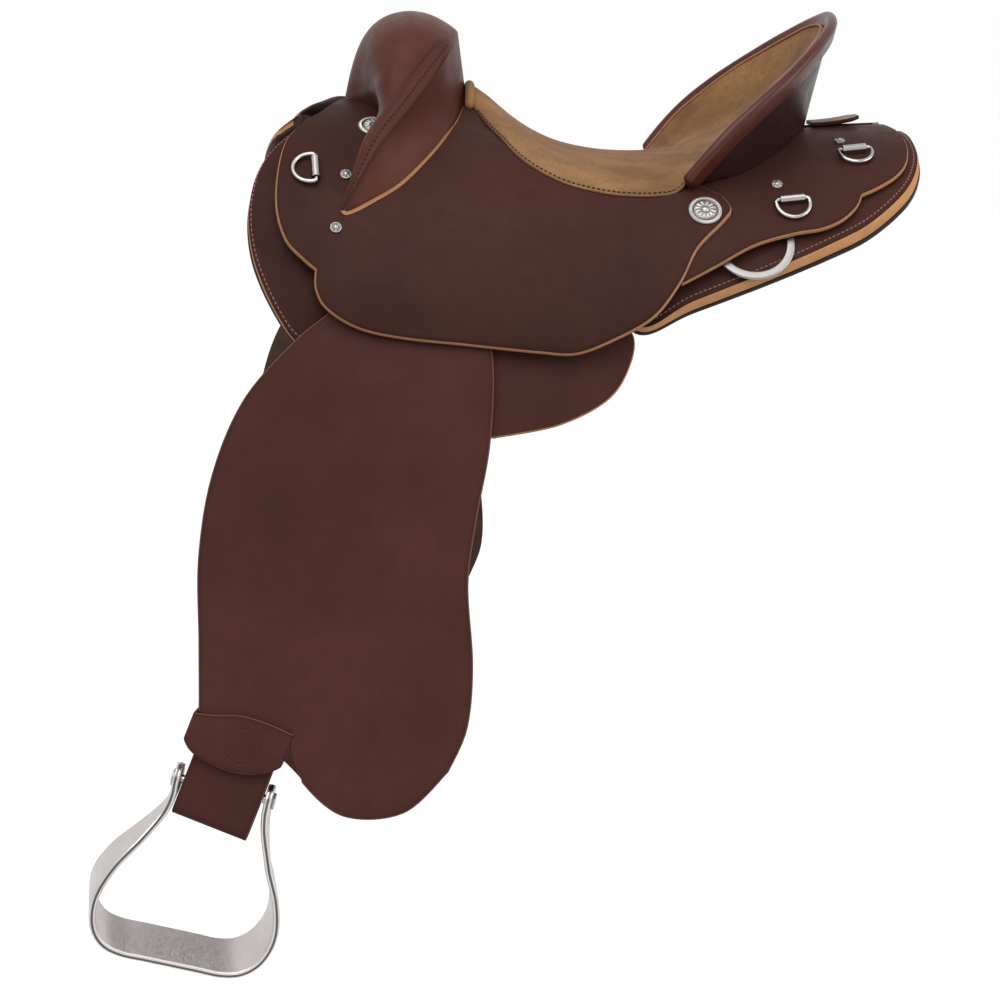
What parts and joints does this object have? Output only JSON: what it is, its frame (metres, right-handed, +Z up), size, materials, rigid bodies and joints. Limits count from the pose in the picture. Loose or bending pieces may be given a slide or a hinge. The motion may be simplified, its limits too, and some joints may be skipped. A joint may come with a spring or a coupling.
{
  "type": "stock saddle",
  "caption": "Leather stock saddle with a swelled fork, suede seat, high cantle, swinging fenders and bent metal stirrups",
  "frame": {"origin": "on the centre plane at mid seat, on the line of the horse's back that the saddle is held by", "axes": "X forward to the fork, Y to the rider's left, Z up"},
  "size_m": [0.799, 0.6328, 0.8904],
  "materials": {
    "dark_brown_leather": "dark brown strap leather, waxed, satin, with raw tan cut edges",
    "red_brown_leather": "reddish brown leather, satin, burnished edges",
    "suede": "golden brown suede, matt, brushed nap",
    "steel": "polished stainless steel",
    "bright_metal": "satin aluminium band with rounded edges",
    "wood": "plain timber, sealed",
    "foam": "soft closed foam",
    "fleece": "dark felted lining"
  },
  "bodies": {
    "saddle": {"tree_bar_left": "wood", "tree_bar_right": "wood", "tree_fork": "wood", "tree_cantle": "wood", "seat_strainer": "steel", "seat_foam": "foam", "seat_cover": "suede", "fork_cover": "red_brown_leather", "fork_welt_left": "red_brown_leather", "fork_welt_right": "red_brown_leather", "cantle_cover": "dark_brown_leather", "cantle_binding": "dark_brown_leather", "seat_jockey_left": "dark_brown_leather", "seat_jockey_right": "dark_brown_leather", "rear_jockey_left": "dark_brown_leather", "rear_jockey_right": "dark_brown_leather", "skirt_left": "dark_brown_leather", "skirt_right": "dark_brown_leather", "lining_left": "fleece", "lining_right": "fleece", "sweat_flap_left": "red_brown_leather", "sweat_flap_right": "red_brown_leather", "hanger_stud_left": "steel", "hanger_stud_right": "steel", "conchos": "steel", "screws": "steel", "dee_clips": "steel", "crupper_strap": "dark_brown_leather", "rigging_tab_rear_left": "dark_brown_leather", "rigging_tab_rear_right": "dark_brown_leather", "rigging_tab_front_left": "dark_brown_leather", "rigging_tab_front_right": "dark_brown_leather"},
    "fender_left": {"fender_left": "red_brown_leather", "stirrup_leather_left": "red_brown_leather", "keeper_left": "red_brown_leather", "stirrup_roller_left": "steel"},
    "stirrup_left": {"stirrup_left": "bright_metal", "stirrup_bolt_left": "steel"},
    "dee_front_left": {"dee_front_left": "steel"},
    "dee_rear_lower_left": {"dee_rear_lower_left": "steel"},
    "dee_rear_upper_left": {"dee_rear_upper_left": "steel"},
    "rigging_dee_rear_left": {"rigging_dee_rear_left": "steel"},
    "rigging_dee_front_left": {"rigging_dee_front_left": "steel"},
    "fender_right": {"fender_right": "red_brown_leather", "stirrup_leather_right": "red_brown_leather", "keeper_right": "red_brown_leather", "stirrup_roller_right": "steel"},
    "stirrup_right": {"stirrup_right": "bright_metal", "stirrup_bolt_right": "steel"},
    "dee_front_right": {"dee_front_right": "steel"},
    "dee_rear_lower_right": {"dee_rear_lower_right": "steel"},
    "dee_rear_upper_right": {"dee_rear_upper_right": "steel"},
    "rigging_dee_rear_right": {"rigging_dee_rear_right": "steel"},
    "rigging_dee_front_right": {"rigging_dee_front_right": "steel"}
  },
  "joints": [
    {"name": "fender_swing_left", "type": "hinge", "parent": "saddle", "child": "fender_left", "pos_m": [0.125, 0.17046, 0.028], "axis": [0, 0.9252, 0.3795], "range_deg": [-11, 41]},
    {"name": "stirrup_turn_left", "type": "hinge", "parent": "fender_left", "child": "stirrup_left", "pos_m": [0.33834, 0.27139, -0.47383], "axis": [0.9647, -0.126, 0.2311], "range_deg": [-50, 50]},
    {"name": "fender_swing_right", "type": "hinge", "parent": "saddle", "child": "fender_right", "pos_m": [0.125, -0.17046, 0.028], "axis": [0, 0.9252, -0.3795], "range_deg": [-17, 35]},
    {"name": "stirrup_turn_right", "type": "hinge", "parent": "fender_right", "child": "stirrup_right", "pos_m": [0.28464, -0.2788, -0.49192], "axis": [0.9868, 0.0872, 0.1364], "range_deg": [-50, 50]},
    {"name": "dee_front_lift_left", "type": "hinge", "parent": "saddle", "child": "dee_front_left", "pos_m": [0.24073, 0.14019, 0.08821], "axis": [0.0484, -0.7192, 0.6931], "range_deg": [0, 120]},
    {"name": "dee_front_lift_right", "type": "hinge", "parent": "saddle", "child": "dee_front_right", "pos_m": [0.24073, -0.14019, 0.08821], "axis": [-0.0484, -0.7192, -0.6931], "range_deg": [0, 120]},
    {"name": "dee_rear_lower_lift_left", "type": "hinge", "parent": "saddle", "child": "dee_rear_lower_left", "pos_m": [-0.206, 0.14234, 0.05545], "axis": [0.9958, 0.0521, -0.0751], "range_deg": [0, 120]},
    {"name": "dee_rear_lower_lift_right", "type": "hinge", "parent": "saddle", "child": "dee_rear_lower_right", "pos_m": [-0.206, -0.14234, 0.05545], "axis": [-0.9958, 0.0521, 0.0751], "range_deg": [0, 120]},
    {"name": "dee_rear_upper_lift_left", "type": "hinge", "parent": "saddle", "child": "dee_rear_upper_left", "pos_m": [-0.27699, 0.08491, 0.0956], "axis": [0.9927, 0.0949, -0.0742], "range_deg": [0, 120]},
    {"name": "dee_rear_upper_lift_right", "type": "hinge", "parent": "saddle", "child": "dee_rear_upper_right", "pos_m": [-0.27699, -0.08491, 0.0956], "axis": [-0.9927, 0.0949, 0.0742], "range_deg": [0, 120]},
    {"name": "rigging_dee_rear_lift_left", "type": "hinge", "parent": "saddle", "child": "rigging_dee_rear_left", "pos_m": [-0.16721, 0.15979, 0.01627], "axis": [0.9392, 0.2071, -0.274], "range_deg": [0, 11]},
    {"name": "rigging_dee_rear_lift_right", "type": "hinge", "parent": "saddle", "child": "rigging_dee_rear_right", "pos_m": [-0.16721, -0.15979, 0.01627], "axis": [-0.9392, 0.2071, 0.274], "range_deg": [0, 11]},
    {"name": "rigging_dee_front_lift_left", "type": "hinge", "parent": "saddle", "child": "rigging_dee_front_left", "pos_m": [0.16092, 0.16229, -0.007], "axis": [0.9745, 0.1293, -0.1832], "range_deg": [-12, 4]},
    {"name": "rigging_dee_front_lift_right", "type": "hinge", "parent": "saddle", "child": "rigging_dee_front_right", "pos_m": [0.16092, -0.16229, -0.007], "axis": [-0.9745, 0.1293, 0.1832], "range_deg": [-12, 4]}
  ]
}
